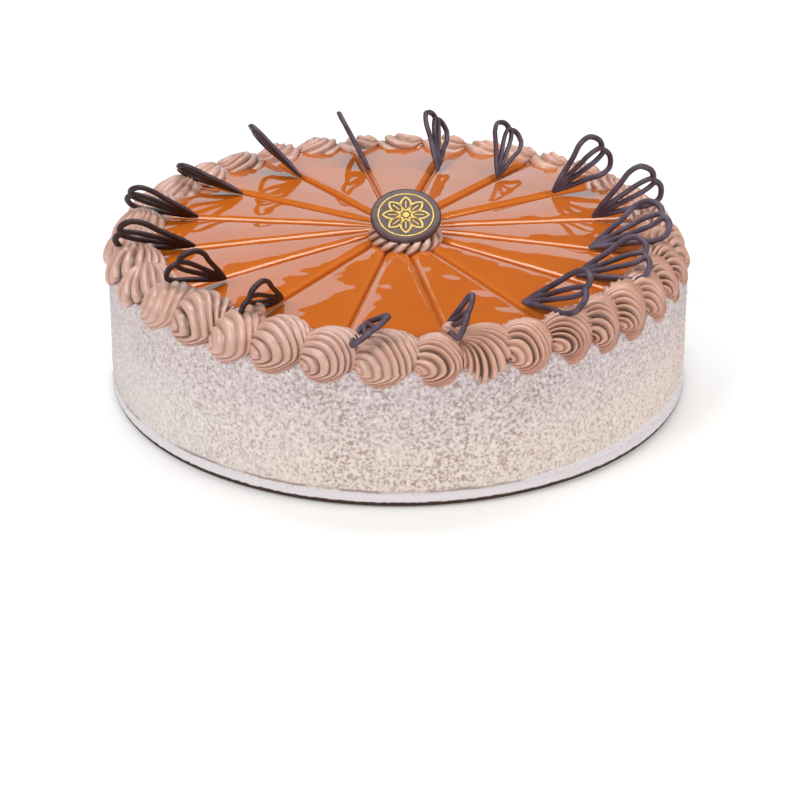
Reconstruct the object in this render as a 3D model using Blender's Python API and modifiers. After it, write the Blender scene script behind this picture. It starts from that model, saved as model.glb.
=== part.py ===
"""A round nut-coated torte, uncut: sixteen caramel sectors, a border of piped cream shells,
sixteen filigree chocolate fans, and a chocolate disc leaning on a cream rosette.
Built in metres, +Z up. The origin is the centre of the base, and -Y is the front."""

import math
import random

import bmesh
import bpy
from mathutils import Vector
from mathutils.geometry import tessellate_polygon

MM = 0.001
GAP = 0.3
SHARP_OVER = 24

# Body, in millimetres.
BASE_RADIUS = 121.0
FOOT_RADIUS = 122.9
SIDE_RADIUS = 122.4
SHOULDER_RADIUS = 121.4
SHOULDER_HEIGHT = 53.0
BODY_STEPS = 52

# Caramel top: a shallow cone cut into sectors.
SECTORS = 16
FIRST_CUT = -79.4
CONE_HEIGHT = 65.3
CONE_FALL = 0.028
SLAB = 4.6
TIP_RADIUS = 11.0
RIM_RADIUS = 112.0
HALF_CUT = 0.5
EDGE_WIDE = 2.6
EDGE_DROP = 2.3

# Piped shells: the middle of one shell, its half sizes, and the turn of each one round the cake.
SHELL_RADIUS = 110.5
SHELL_HEIGHT = 57.6
SHELL_DEEP = 13.2
SHELL_TALL = 11.0
SHELL_UNDER = 8.0
SHELL_RIGHT = 13.6
SHELL_LEFT = 11.6
SHELL_SMALLER = 0.15
SHELL_SMALLEST_AT = 60
SHELL_GROOVE = 1.8
SHELL_PIVOT = 0.85
SHELL_TURNS = (
    -92.9, -82.7, -74.0, -65.5, -56.1, -48.3, -40.5, -31.3, -22.7, -14.4, -5.6, 3.6, 12.8,
    22.2, 31.6, 41.0, 50.3, 59.2, 68.2, 77.8, 88.6, 98.6, 109.0, 119.4, 130.4, 141.4,
    152.2, 163.0, 173.8, 184.4, 194.9, 205.6, 216.8, 227.6, 237.1, 246.5, 256.6,
)

# How far the inner end of each shell leans to the right, most at the right of the cake.
RIGHT_SLANTS = (0.15, 0.1, 0.3, 0.25, 0.6, 0.8, 1.05, 0.85, 0.8, 0.8, 0.55, 0.55, 0.2, 0.2, 0.2)
SHELL_SLANTS = RIGHT_SLANTS + (0.15,) * (len(SHELL_TURNS) - len(RIGHT_SLANTS))

# Ridges of a shell: where their curl lies, how far each ring is from it, and how the rings are squeezed.
CURL_ACROSS = -46.0
CURL_ALONG = 176.0
CURL_HOLE = 2.0
RIDGE_LEVELS = (8, 19, 32, 46, 63, 86, 120)
RIDGE_SWING = (0, 24, 48, 74, 112, 185, 250, 310)
RIDGE_SQUARE = 0.85
RIDGE_LEFT = 0.24
RIDGE_INNER = 1.4
RIDGE_UNDER = 0.52

# Chocolate fans: turn round the cake, tip radius, rise, lean, twist, length factor, width factor.
FAN_THICK = 2.0
FAN_STRAND = 2.1
FAN_PLACES = (
    (169.6, 86.8, 28, 40, -5, 0.86, 0.91),
    (190.8, 85.4, 19, 36, -10, 0.91, 0.89),
    (215.8, 84.9, 35, 29, -10, 0.80, 0.86),
    (236.8, 82.6, 24, 22, -2, 0.81, 0.77),
    (261.8, 92.5, 30, 50, -9, 0.81, 0.81),
    (280.4, 97.2, 39, 24, -7, 0.76, 0.86),
    (303.6, 86.9, 35, 44, -6, 0.90, 0.81),
    (327.1, 84.4, 32, 52, 2, 0.84, 0.92),
    (346.4, 81.0, 39, 54, -9, 0.95, 0.81),
    (10.0, 84.2, 32, -9, 1, 0.88, 0.89),
    (32.4, 80.5, 36, -4, -9, 0.84, 0.95),
    (53.9, 75.5, 38, 33, -3, 0.81, 0.77),
    (75.4, 71.3, 40, 28, -6, 0.83, 0.82),
    (100.4, 72.9, 25, 26, 1, 0.88, 0.97),
    (124.3, 76.7, 38, 37, -6, 0.88, 0.97),
    (147.8, 80.6, 33, 51, -3, 0.83, 0.95),
)
SIDE_LINE = (
    (0, 0.3), (9, 4.6), (18, 9.5), (25, 12.4), (30, 12.9), (34, 10.9), (36, 7.2), (35.7, 3.1), (34.2, 0),
)
MIDDLE_LINE = ((21, 2.9), (27.5, 4.0), (31.8, 3.0), (34.2, 0))

# Rosette and disc in the middle.
ROSETTE_AT = (3.0, -9.0)
ROSETTE_RADIUS = 15.0
ROSETTE_RIDGES = 12
DISC_AT = (3.2, -10.0, 75.0)
DISC_RADIUS = 14.7
DISC_THICK = 2.4
DISC_TILT = 27.0


def cone(radius):
    """Height of the caramel surface at a radius."""
    return CONE_HEIGHT - CONE_FALL * radius


def material(name, colour, roughness, coat=0.0, metallic=0.0):
    made = bpy.data.materials.new(name)
    made.use_nodes = True
    shader = made.node_tree.nodes["Principled BSDF"]
    shader.inputs["Base Color"].default_value = (*colour, 1.0)
    shader.inputs["Roughness"].default_value = roughness
    shader.inputs["Coat Weight"].default_value = coat
    shader.inputs["Metallic"].default_value = metallic
    made.diffuse_color = (*colour, 1.0)
    return made


def put(name, mesh, look, group, smooth=True):
    """An object in its collection, with its material."""
    made = bpy.data.objects.new(name, mesh)
    group.objects.link(made)
    if look:
        mesh.materials.append(look)
    for face in mesh.polygons:
        face.use_smooth = smooth
    return made


def mesh_from(name, points, faces):
    """A closed mesh from points in millimetres, its faces turned outward."""
    mesh = bpy.data.meshes.new(name)
    work = bmesh.new()
    corners = [work.verts.new(Vector(point) * MM) for point in points]
    for face in faces:
        work.faces.new([corners[index] for index in face])
    bmesh.ops.remove_doubles(work, verts=work.verts, dist=1e-6)
    bmesh.ops.dissolve_degenerate(work, dist=1e-6, edges=work.edges)
    bmesh.ops.recalc_face_normals(work, faces=work.faces)
    if work.calc_volume(signed=True) < 0:
        bmesh.ops.reverse_faces(work, faces=work.faces)
    work.to_mesh(mesh)
    work.free()
    return mesh


def turned(name, profile, look, group, steps):
    """A solid of revolution: its profile runs from the axis at the top, out and down, back to the axis."""
    mesh = bpy.data.meshes.new(name)
    edges = [(index, index + 1) for index in range(len(profile) - 1)]
    mesh.from_pydata([(radius * MM, 0, height * MM) for radius, height in profile], edges, [])
    made = put(name, mesh, look, group)
    turn = made.modifiers.new("Turn", "SCREW")
    turn.axis = "Z"
    turn.angle = 2 * math.pi
    turn.steps = steps
    turn.render_steps = steps
    turn.use_merge_vertices = True
    turn.merge_threshold = 1e-5
    turn.use_smooth_shade = True
    return made


def settle(made):
    """The object's modifiers turned into its own mesh."""
    graph = bpy.context.evaluated_depsgraph_get()
    mesh = bpy.data.meshes.new_from_object(made.evaluated_get(graph))
    made.modifiers.clear()
    made.data = mesh
    return made


def boolean(made, others, operation):
    """Joins or cuts with every object of a collection, and removes those objects."""
    step = made.modifiers.new(operation.title(), "BOOLEAN")
    step.operation = operation
    step.operand_type = "COLLECTION"
    step.collection = others
    step.solver = "MANIFOLD"
    bpy.context.view_layer.update()
    settle(made)
    for other in list(others.objects):
        bpy.data.objects.remove(other)


def helpers(name):
    group = bpy.data.collections.new(name)
    bpy.context.scene.collection.children.link(group)
    return group


def helper(made):
    made.hide_render = True
    made.display_type = "WIRE"
    return made


def keep_largest(made):
    """Drops loose crumbs that a cut leaves, and welds the rest."""
    work = bmesh.new()
    work.from_mesh(made.data)
    bmesh.ops.remove_doubles(work, verts=work.verts, dist=2e-6)
    left = set(work.faces)
    pieces = []
    while left:
        queue = [left.pop()]
        piece = list(queue)
        while queue:
            for edge in queue.pop().edges:
                for face in edge.link_faces:
                    if face in left:
                        left.remove(face)
                        piece.append(face)
                        queue.append(face)
        pieces.append(piece)
    pieces.sort(key=lambda piece: -sum(face.calc_area() for face in piece))
    for piece in pieces[1:]:
        bmesh.ops.delete(work, geom=piece, context="FACES")
    loose = [corner for corner in work.verts if not corner.link_faces]
    bmesh.ops.delete(work, geom=loose, context="VERTS")
    work.to_mesh(made.data)
    work.free()
    for face in made.data.polygons:
        face.use_smooth = True
    made.data.set_sharp_from_angle(angle=math.radians(SHARP_OVER))
    return made


def cake_body(look, group):
    """The coated cake under its topping: smooth foot band, upright side, rounded shoulder, conical top."""
    under = SLAB + GAP
    profile = [
        (0, cone(0) - under),
        (114.5, cone(114.5) - under),
        (118.6, 56.8),
        (120.8, 55.2),
        (SHOULDER_RADIUS, SHOULDER_HEIGHT),
        (121.9, 30.0),
        (SIDE_RADIUS, 7.0),
        (122.0, 5.9),
        (FOOT_RADIUS - 0.3, 5.0),
        (FOOT_RADIUS, 2.2),
        (BASE_RADIUS, 0.7),
        (BASE_RADIUS - 0.4, 0),
        (0, 0),
    ]
    return turned("cake_body", profile, look, group, BODY_STEPS)


def envelope(name, extra, group):
    """The outer surface of body and caramel together, grown by a clearance, to cut what rests on them."""
    profile = [
        (0, cone(0) + extra),
        (RIM_RADIUS + extra, cone(RIM_RADIUS) + extra),
        (RIM_RADIUS + extra, cone(112.4) - SLAB + extra),
        (114.7, cone(114.5) - SLAB + extra - GAP),
        (118.8 + extra * 0.5, 56.9 + extra),
        (121.0 + extra, 55.4 + extra * 0.5),
        (SHOULDER_RADIUS + extra, SHOULDER_HEIGHT),
        (121.9 + extra, 30.0),
        (121.9 + extra, 20.0),
        (0, 20.0),
    ]
    return helper(turned(name, profile, None, group, BODY_STEPS))


def caramel_wedge(number, look, group):
    """One sector of caramel: a slab from tip to rim, its long upper edges rounded down into the cuts."""
    half = math.pi / SECTORS
    middle = math.radians(FIRST_CUT) + 2 * half * (number - 0.5)
    along = Vector((math.cos(middle), math.sin(middle), 0))
    aside = Vector((-math.sin(middle), math.cos(middle), 0))
    points = []
    stations = (TIP_RADIUS, 17.0, 26.0, RIM_RADIUS)
    for radius in stations:
        reach = radius * math.tan(half) - HALF_CUT
        round_by = min(1.0, reach / 4.2)
        section = [(-reach, SLAB), (-reach, EDGE_DROP * round_by)]
        section.append((-reach + 0.30 * EDGE_WIDE * round_by, 0.38 * EDGE_DROP * round_by))
        section.append((-reach + EDGE_WIDE * round_by, 0.0))
        section += [(-side, drop) for side, drop in reversed(section)]
        for side, drop in section:
            lengthwise = radius if radius < RIM_RADIUS else math.sqrt(RIM_RADIUS ** 2 - side ** 2)
            spot = along * lengthwise + aside * side
            points.append(spot + Vector((0, 0, cone(spot.length) - drop)))
    faces = [list(range(8)), list(range(len(points) - 1, len(points) - 9, -1))]
    for station in range(len(stations) - 1):
        for index in range(8):
            here = station * 8 + index
            after = station * 8 + (index + 1) % 8
            faces.append([here, after, after + 8, here + 8])
    name = f"caramel_wedge_{number:02d}"
    return put(name, mesh_from(name, points, faces), look, group)


def shell_size(turn):
    """Size factor of the shell at a turn: full at the front and left, smaller at the right and the back."""
    share = (math.cos(math.radians(turn - SHELL_SMALLEST_AT)) + 0.25) / 0.9
    return 1.0 - SHELL_SMALLER * min(1.0, max(0.0, share))


def shell_point(turn, across, along, sink, size, spread, slant):
    """A point of one shell, from two angles: across it, and along it from its inner edge over the top."""
    across = math.radians(across)
    along = math.radians(along)
    wide = spread * (SHELL_RIGHT if across > 0 else SHELL_LEFT)
    inward = math.cos(across) * math.cos(along)
    upward = math.cos(across) * math.sin(along)
    side = math.sin(across)
    tall = SHELL_TALL if upward > 0 else SHELL_UNDER
    reach = size / math.sqrt((inward / SHELL_DEEP) ** 2 + (upward / tall) ** 2 + (side / wide) ** 2)
    reach -= sink
    east = Vector((math.cos(turn), math.sin(turn), 0))
    north = Vector((-math.sin(turn), math.cos(turn), 0))
    radius = SHELL_RADIUS - inward * reach
    sideways = (side + slant * (0.5 + 0.5 * side) * (inward + SHELL_PIVOT)) * reach
    return east * radius + north * sideways + Vector((0, 0, SHELL_HEIGHT + upward * reach))


def ridge_angles(curl, level, angle):
    """The two angles of a point on a ridge round the curl, from its distance and direction, in degrees."""
    swing = math.radians(angle)
    right = math.copysign(abs(math.cos(swing)) ** RIDGE_SQUARE, math.cos(swing))
    inner = math.copysign(abs(math.sin(swing)) ** RIDGE_SQUARE, math.sin(swing))
    across = curl[0] + level * right * (1.0 if right > 0 else RIDGE_LEFT)
    along = curl[1] - level * inner * (RIDGE_INNER if inner > 0 else RIDGE_UNDER)
    return across, along


def cream_shell(number, group):
    """One piped shell: ridges arch from its left edge over the top, round a curl low on its outer left."""
    chance = random.Random(number)
    count = len(SHELL_TURNS)
    turn = math.radians(SHELL_TURNS[number])
    size = shell_size(SHELL_TURNS[number]) + chance.uniform(-0.03, 0.03)
    before = (SHELL_TURNS[number] - SHELL_TURNS[number - 1]) % 360
    after = (SHELL_TURNS[(number + 1) % count] - SHELL_TURNS[number]) % 360
    spread = (before + after) * count / 720
    curl = (CURL_ACROSS + chance.uniform(-5, 5), CURL_ALONG + chance.uniform(-6, 6))
    slant = SHELL_SLANTS[number]
    points = [shell_point(turn, *curl, CURL_HOLE, size, spread, slant)]
    for index, level in enumerate(RIDGE_LEVELS):
        for angle in RIDGE_SWING:
            shade = 1.0 if angle < 100 else 0.4
            sink = SHELL_GROOVE * (index % 2) * shade
            points.append(shell_point(turn, *ridge_angles(curl, level, angle), sink, size, spread, slant))
    wide = len(RIDGE_SWING)
    faces = []
    for side in range(wide):
        after = (side + 1) % wide
        faces.append([0, 1 + side, 1 + after])
        for ring in range(len(RIDGE_LEVELS) - 1):
            first = 1 + ring * wide
            faces.append([first + side, first + wide + side, first + wide + after, first + after])
        last = 1 + (len(RIDGE_LEVELS) - 1) * wide
        faces.append([last + side, len(points), last + after])
    core = Vector((math.cos(turn), math.sin(turn), 0)) * SHELL_RADIUS
    points.append(core + Vector((0, 0, SHELL_HEIGHT - 2)))
    mesh = mesh_from(f"shell_{number}", points, faces)
    return helper(put(mesh.name, mesh, None, group))


def cream_border(look, group):
    """All the shells joined, resting on cake and caramel, slotted where the fans stand in them."""
    shells = helpers("shells")
    first = cream_shell(0, shells)
    shells.objects.unlink(first)
    group.objects.link(first)
    for number in range(1, len(SHELL_TURNS)):
        cream_shell(number, shells)
    boolean(first, shells, "UNION")
    cutters = helpers("border_cutters")
    settle(envelope("seat", GAP, cutters))
    for place in FAN_PLACES:
        helper(put("slot", fan_mesh("slot", place, 0.32, openings=False), None, cutters))
    boolean(first, cutters, "DIFFERENCE")
    keep_largest(first)
    first.name = "cream_border"
    first.hide_render = False
    first.display_type = "TEXTURED"
    first.data.materials.clear()
    first.data.materials.append(look)
    return first


def offset_line(line, amount):
    """The points of a line moved sideways, each along the mean of its neighbours' normals."""
    moved = []
    for index, point in enumerate(line):
        before = Vector(line[max(index - 1, 0)])
        after = Vector(line[min(index + 1, len(line) - 1)])
        along = (after - before).normalized()
        moved.append((point[0] - along.y * amount, point[1] + along.x * amount))
    return moved


def mirrored(line):
    return [(x, -y) for x, y in reversed(line)]


def fan_outlines(grow):
    """Outer edge and three openings of a fan, in its own plane, from the middle lines of its strands."""
    half = FAN_STRAND / 2 + grow
    upper = offset_line(SIDE_LINE, half)[1:-1]
    outer = [(-half, 0.6)] + upper + [(35.3 + grow, 0.0)]
    outer += mirrored([(-half, 0.6)] + upper)
    inner = offset_line(SIDE_LINE, -half)[2:8]
    middle_out = offset_line(MIDDLE_LINE, half)[:3]
    side_hole = [(11.5 + 2 * grow, 4.3)] + inner[:-1] + [(33.7, 2.6)] + list(reversed(middle_out))
    middle_in = offset_line(MIDDLE_LINE, -half)[1:3]
    middle_hole = [(19.5 + 2 * grow, 0.0)] + [(22.5, 1.6)] + middle_in + [(33.0 - grow, 0.0)]
    middle_hole += mirrored([(22.5, 1.6)] + middle_in)
    return [outer, side_hole, mirrored(side_hole), middle_hole]


def fan_mesh(name, place, grow, openings=True):
    """One fan standing on the caramel: a flat plate with three openings, tip inward."""
    turn, radius, rise, lean, twist, long_by, wide_by = place
    turn = math.radians(turn)
    tip = Vector((radius * math.cos(turn), radius * math.sin(turn), cone(radius) + 0.9))
    heading = turn + math.radians(twist)
    outward = Vector((math.cos(heading), math.sin(heading), 0))
    sideways = Vector((-math.sin(heading), math.cos(heading), 0))
    lean = math.radians(lean)
    rise = math.radians(rise)
    stand = Vector((0, 0, 1)) * math.cos(lean) + sideways * math.sin(lean)
    along = outward * math.cos(rise) + stand * math.sin(rise)
    across = stand * math.cos(rise) - outward * math.sin(rise)
    normal = along.cross(across)
    thick = FAN_THICK / 2 + grow
    loops = fan_outlines(grow) if openings else fan_outlines(grow)[:1]
    flat = [Vector((x, y, 0)) for loop in loops for x, y in loop]
    triangles = tessellate_polygon([[Vector((x, y, 0)) for x, y in loop] for loop in loops])
    count = len(flat)
    points = []
    for side in (thick, -thick):
        for point in flat:
            spot = along * point.x + across * point.y * wide_by
            points.append(tip + spot * long_by + normal * side)
    faces = []
    for triangle in triangles:
        faces.append(list(triangle))
        faces.append([index + count for index in reversed(triangle)])
    start = 0
    for loop in loops:
        for index in range(len(loop)):
            here = start + index
            after = start + (index + 1) % len(loop)
            faces.append([here, after, after + count, here + count])
        start += len(loop)
    return mesh_from(name, points, faces)


def chocolate_fan(number, look, group):
    name = f"chocolate_fan_{number:02d}"
    made = put(name, fan_mesh(name, FAN_PLACES[number - 1], 0), look, group, smooth=False)
    trims = helpers("fan_trim")
    settle(envelope("caramel_clearance", GAP, trims))
    boolean(made, trims, "DIFFERENCE")
    return keep_largest(made)


def disc_frame():
    """Centre of the disc, its face normal, and its up direction across the face."""
    tilt = math.radians(DISC_TILT)
    normal = Vector((0, -math.sin(tilt), math.cos(tilt)))
    uphill = Vector((0, math.cos(tilt), math.sin(tilt)))
    return Vector(DISC_AT), normal, uphill


def medallion(look, group):
    """A thin chocolate disc, leaning toward the front, its rim slightly rounded."""
    centre, normal, uphill = disc_frame()
    right = Vector((1, 0, 0))
    steps = 32
    rings = [(DISC_RADIUS - 0.5, 0), (DISC_RADIUS, -0.5)]
    rings += [(DISC_RADIUS, 0.6 - DISC_THICK), (DISC_RADIUS - 0.6, -DISC_THICK)]
    points = []
    for radius, drop in rings:
        for step in range(steps):
            turn = 2 * math.pi * step / steps
            spot = right * math.cos(turn) * radius + uphill * math.sin(turn) * radius
            points.append(centre + spot + normal * drop)
    faces = [list(range(steps)), list(range(4 * steps - 1, 3 * steps - 1, -1))]
    for ring in range(3):
        for step in range(steps):
            after = (step + 1) % steps
            first = ring * steps
            faces.append([first + after, first + step, first + step + steps, first + after + steps])
    return put("medallion", mesh_from("medallion", points, faces), look, group)


def centre_rosette(look, group):
    """A ridged mound of piped cream under the disc, cut to the disc's slope and to the caramel."""
    levels = ((62.5, 0.86), (64.6, 1.0), (66.4, 0.99), (68.8, 0.84), (78.0, 0.3))
    steps = ROSETTE_RIDGES * 3
    points = []
    for height, share in levels:
        for step in range(steps):
            turn = 2 * math.pi * step / steps
            wave = (1.2, -0.9, -0.9)[step % 3]
            twisted = turn + math.radians((height - 62.5) * 1.6)
            radius = (ROSETTE_RADIUS + wave) * share
            stretch = 1.12 if math.sin(twisted) < 0 else 1.0
            x = ROSETTE_AT[0] + radius * math.cos(twisted)
            y = ROSETTE_AT[1] + radius * math.sin(twisted) * stretch
            points.append((x, y, height))
    faces = [list(range(steps - 1, -1, -1)), [(len(levels) - 1) * steps + step for step in range(steps)]]
    for ring in range(len(levels) - 1):
        for step in range(steps):
            after = (step + 1) % steps
            first = ring * steps
            faces.append([first + step, first + after, first + after + steps, first + step + steps])
    made = put("centre_rosette", mesh_from("centre_rosette", points, faces), look, group)
    cutters = helpers("rosette_cutters")
    settle(envelope("caramel_under", GAP, cutters))
    centre, normal, uphill = disc_frame()
    right = Vector((1, 0, 0))
    block = []
    for lift in (-DISC_THICK - GAP, 30):
        for step in range(36):
            turn = 2 * math.pi * step / 36
            spot = right * math.cos(turn) + uphill * math.sin(turn)
            block.append(centre + spot * (DISC_RADIUS + GAP) + normal * lift)
    sides = [list(range(35, -1, -1)), list(range(36, 72))]
    sides += [[step, (step + 1) % 36, (step + 1) % 36 + 36, step + 36] for step in range(36)]
    helper(put("disc_room", mesh_from("disc_room", block, sides), None, cutters))
    boolean(made, cutters, "DIFFERENCE")
    return keep_largest(made)


def clear_scene():
    for item in list(bpy.data.objects):
        bpy.data.objects.remove(item)


def main():
    clear_scene()
    torte = helpers("torte")
    crumb = material("ground_nut_coating", (0.72, 0.66, 0.64), 0.9)
    caramel = material("caramel_glaze", (0.60, 0.13, 0.017), 0.12, coat=0.6)
    cream = material("chocolate_buttercream", (0.50, 0.28, 0.185), 0.45)
    chocolate = material("dark_chocolate", (0.042, 0.016, 0.013), 0.32)
    disc = material("disc_chocolate", (0.085, 0.045, 0.045), 0.35)
    cake_body(crumb, torte)
    for number in range(1, SECTORS + 1):
        caramel_wedge(number, caramel, torte)
    cream_border(cream, torte)
    for number in range(1, SECTORS + 1):
        chocolate_fan(number, chocolate, torte)
    centre_rosette(cream, torte)
    medallion(disc, torte)
    for group in list(bpy.data.collections):
        if group is not torte and not group.objects:
            bpy.data.collections.remove(group)


main()
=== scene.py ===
"""The looks of a round nut-coated torte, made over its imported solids: crumb coat, caramel sectors, piped
cream shells, chocolate fans, and the disc in the middle. Metres, +Z up, and -Y is the front."""

import math
import random

import bmesh
import bpy
import numpy as np
from mathutils import Matrix, Vector, noise


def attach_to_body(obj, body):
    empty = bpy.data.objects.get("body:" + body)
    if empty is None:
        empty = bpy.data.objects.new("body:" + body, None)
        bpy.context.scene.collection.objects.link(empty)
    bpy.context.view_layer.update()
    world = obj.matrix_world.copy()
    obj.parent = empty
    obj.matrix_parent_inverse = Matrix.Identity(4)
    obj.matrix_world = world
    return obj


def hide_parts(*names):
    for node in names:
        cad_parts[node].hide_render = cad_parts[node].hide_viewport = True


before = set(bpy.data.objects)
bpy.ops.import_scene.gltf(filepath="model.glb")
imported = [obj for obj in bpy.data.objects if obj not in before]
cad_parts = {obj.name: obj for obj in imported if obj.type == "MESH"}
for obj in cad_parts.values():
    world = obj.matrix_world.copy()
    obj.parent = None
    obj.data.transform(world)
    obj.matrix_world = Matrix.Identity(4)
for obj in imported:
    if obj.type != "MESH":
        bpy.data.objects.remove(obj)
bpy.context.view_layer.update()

MM = 0.001

# The cake's sizes, in millimetres, as its solids have them.
SECTORS = 16
FIRST_CUT = -79.4
CONE_HEIGHT = 65.3
CONE_FALL = 0.028
SLAB = 4.6
TIP_RADIUS = 11.0
RIM_RADIUS = 112.0

# Camera: where it stands, where it looks, and its lens on a 36 mm sensor.
CAMERA_AT = (-0.0005, -0.79946, 0.3948)
CAMERA_YAW = 0.093
CAMERA_PITCH = -27.217
CAMERA_LENS = 92.25


class Number:
    """A number that varies over a surface. Python's operators on it add Math nodes to its material."""

    def __init__(self, finish, socket):
        self.finish = finish
        self.socket = socket

    def maths(self, operation, first, second=0.0):
        made = self.finish.node("ShaderNodeMath", {"operation": operation}, {0: first, 1: second})
        return Number(self.finish, made.outputs[0])

    def __add__(self, other):
        return self.maths("ADD", self, other)

    def __sub__(self, other):
        return self.maths("SUBTRACT", self, other)

    def __rsub__(self, other):
        return self.maths("SUBTRACT", other, self)

    def __mul__(self, other):
        return self.maths("MULTIPLY", self, other)

    def __abs__(self):
        return self.maths("ABSOLUTE", self)

    def power(self, other):
        return self.maths("POWER", self, other)

    __radd__ = __add__
    __rmul__ = __mul__


class Finish:
    """A material on one Principled BSDF, with its own short ways to add nodes."""

    def __init__(self, name, roughness, metallic=0.0, coat=0.0, coat_roughness=0.03, specular=0.5):
        self.material = bpy.data.materials.new(name)
        self.material.use_nodes = True
        self.tree = self.material.node_tree
        self.shader = self.tree.nodes["Principled BSDF"]
        self.shader.inputs["Roughness"].default_value = roughness
        self.shader.inputs["Metallic"].default_value = metallic
        self.shader.inputs["Coat Weight"].default_value = coat
        self.shader.inputs["Coat Roughness"].default_value = coat_roughness
        self.shader.inputs["Specular IOR Level"].default_value = specular
        self.place = self.node("ShaderNodeTexCoord").outputs["Object"]

    def node(self, kind, settings=(), inputs=()):
        """A node: its settings come first, then the values or links of its sockets."""
        made = self.tree.nodes.new(kind)
        for name, value in dict(settings).items():
            setattr(made, name, value)
        for name, value in dict(inputs).items():
            self.join(value, made.inputs[name])
        return made

    def join(self, value, socket):
        if isinstance(value, Number):
            value = value.socket
        if isinstance(value, bpy.types.NodeSocket):
            self.tree.links.new(value, socket)
        elif isinstance(value, tuple) and len(value) == 3 and socket.type == "RGBA":
            socket.default_value = (*value, 1.0)
        else:
            socket.default_value = value

    def noise(self, size, detail=2.0):
        """Soft noise between 0 and 1, its patches about as wide as size, in millimetres."""
        inputs = {"Vector": self.place, "Scale": 1000.0 / size, "Detail": detail}
        return Number(self, self.node("ShaderNodeTexNoise", {}, inputs).outputs[0])

    def marked(self, name):
        """A value that the mesh keeps for each point."""
        return Number(self, self.node("ShaderNodeAttribute", {"attribute_name": name}).outputs["Fac"])

    def axis(self, name):
        """The place along X, Y or Z, in millimetres."""
        parts = self.node("ShaderNodeSeparateXYZ", {}, {0: self.place})
        return Number(self, parts.outputs[name]) * 1000.0

    def between(self, value, low, high):
        """A smooth step from 0 at low to 1 at high."""
        inputs = {"Value": value, "From Min": low, "From Max": high}
        made = self.node("ShaderNodeMapRange", {"interpolation_type": "SMOOTHSTEP"}, inputs)
        return Number(self, made.outputs["Result"])

    def mix(self, share, first, second):
        """One colour over another."""
        made = self.node("ShaderNodeMix", {"data_type": "RGBA"}, {"Factor": share})
        self.join(first, made.inputs[6])
        self.join(second, made.inputs[7])
        return made.outputs[2]

    def bump(self, height, distance, strength=1.0):
        """Relief of this depth in millimetres, put on the shader."""
        inputs = {"Height": height, "Distance": distance * MM, "Strength": strength}
        made = self.node("ShaderNodeBump", {}, inputs)
        self.join(made.outputs[0], self.shader.inputs["Normal"])

    def put(self, name, value):
        self.join(value, self.shader.inputs[name])


def cone(radius):
    """Height of the caramel surface at a radius."""
    return CONE_HEIGHT - CONE_FALL * radius


def soft_noise(points, size, offset=0.0):
    """Noise between -1 and 1 at each point, its patches about as wide as size, all in millimetres."""
    scaled = np.asarray(points) / size + offset
    return np.array([noise.noise(Vector(point)) for point in scaled])


def piece(name, points, faces, finish, replaced=(), smooth=True):
    """A mesh object from points in millimetres, riding on the cake's one body."""
    mesh = bpy.data.meshes.new(name)
    mesh.from_pydata((np.asarray(points) * MM).tolist(), [], faces)
    mesh.polygons.foreach_set("use_smooth", [smooth] * len(mesh.polygons))
    mesh.materials.append(finish.material)
    mesh.validate()
    made = bpy.data.objects.new(name, mesh)
    bpy.context.scene.collection.objects.link(made)
    return attach(made, replaced)


def attach(made, replaced=()):
    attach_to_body(made, "root")
    if replaced:
        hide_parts(*replaced)
    return made


def grid_faces(rows, columns, first=0, around=True):
    """Quads over a grid of points, stored row by row. Around joins its last column to its first."""
    faces = []
    for row in range(rows - 1):
        for column in range(columns if around else columns - 1):
            after = (column + 1) % columns
            here = first + row * columns
            faces.append((here + column, here + after, here + columns + after, here + columns + column))
    return faces


# Crumb coat, its profile from under the border down to the base.
COAT_COLUMNS = 900
COAT_STEP = 0.85
COAT_PROFILE = (
    (100.0, 57.6), (114.5, 57.2), (118.6, 56.8), (120.8, 55.2), (121.4, 53.0), (121.9, 30.0), (122.4, 7.0),
    (122.0, 5.9), (122.6, 5.0), (122.9, 2.6), (122.3, 1.1), (121.0, 0.7), (120.6, 0.0),
)

# The coat has no rows between its first point and this radius, its middle is this high under the caramel,
# and its lowest edge is left smooth.
COAT_INNER = 113.0
COAT_MIDDLE = 60.0
FLAT_BELOW = 0.4

# Crumbs of the coat: how wide they are, and how far they stand out.
COARSE_CRUMB = (2.4, 0.22)
FINE_CRUMB = (1.05, 0.30)
LEAST_CRUMB = 0.12

# Loose grains: their number, half widths and heights on the side, how uneven their corners are, and how far
# their middles stand out.
GRAINS = 14000
GRAIN_SIZE = (0.22, 0.5)
GRAIN_HEIGHTS = (5.2, 55.0)
GRAIN_CORNERS = (0.6, 1.25)
GRAIN_OUT = 0.05


def coat_line():
    """The coat's profile with a point at every step along it, from under the border to the base."""
    line = []
    for (r0, z0), (r1, z1) in zip(COAT_PROFILE, COAT_PROFILE[1:]):
        steps = max(1, round(math.hypot(r1 - r0, z1 - z0) / COAT_STEP))
        line += [(r0 + (r1 - r0) * step / steps, z0 + (z1 - z0) * step / steps) for step in range(steps)]
    return [point for point in line if point[0] > COAT_INNER or point is line[0]] + [COAT_PROFILE[-1]]


def crumb_share(height):
    """How much crumb clings at a height: very little on the foot band, all of it above."""
    return np.clip((height - 5.0) / 2.0, LEAST_CRUMB, 1.0)


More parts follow.
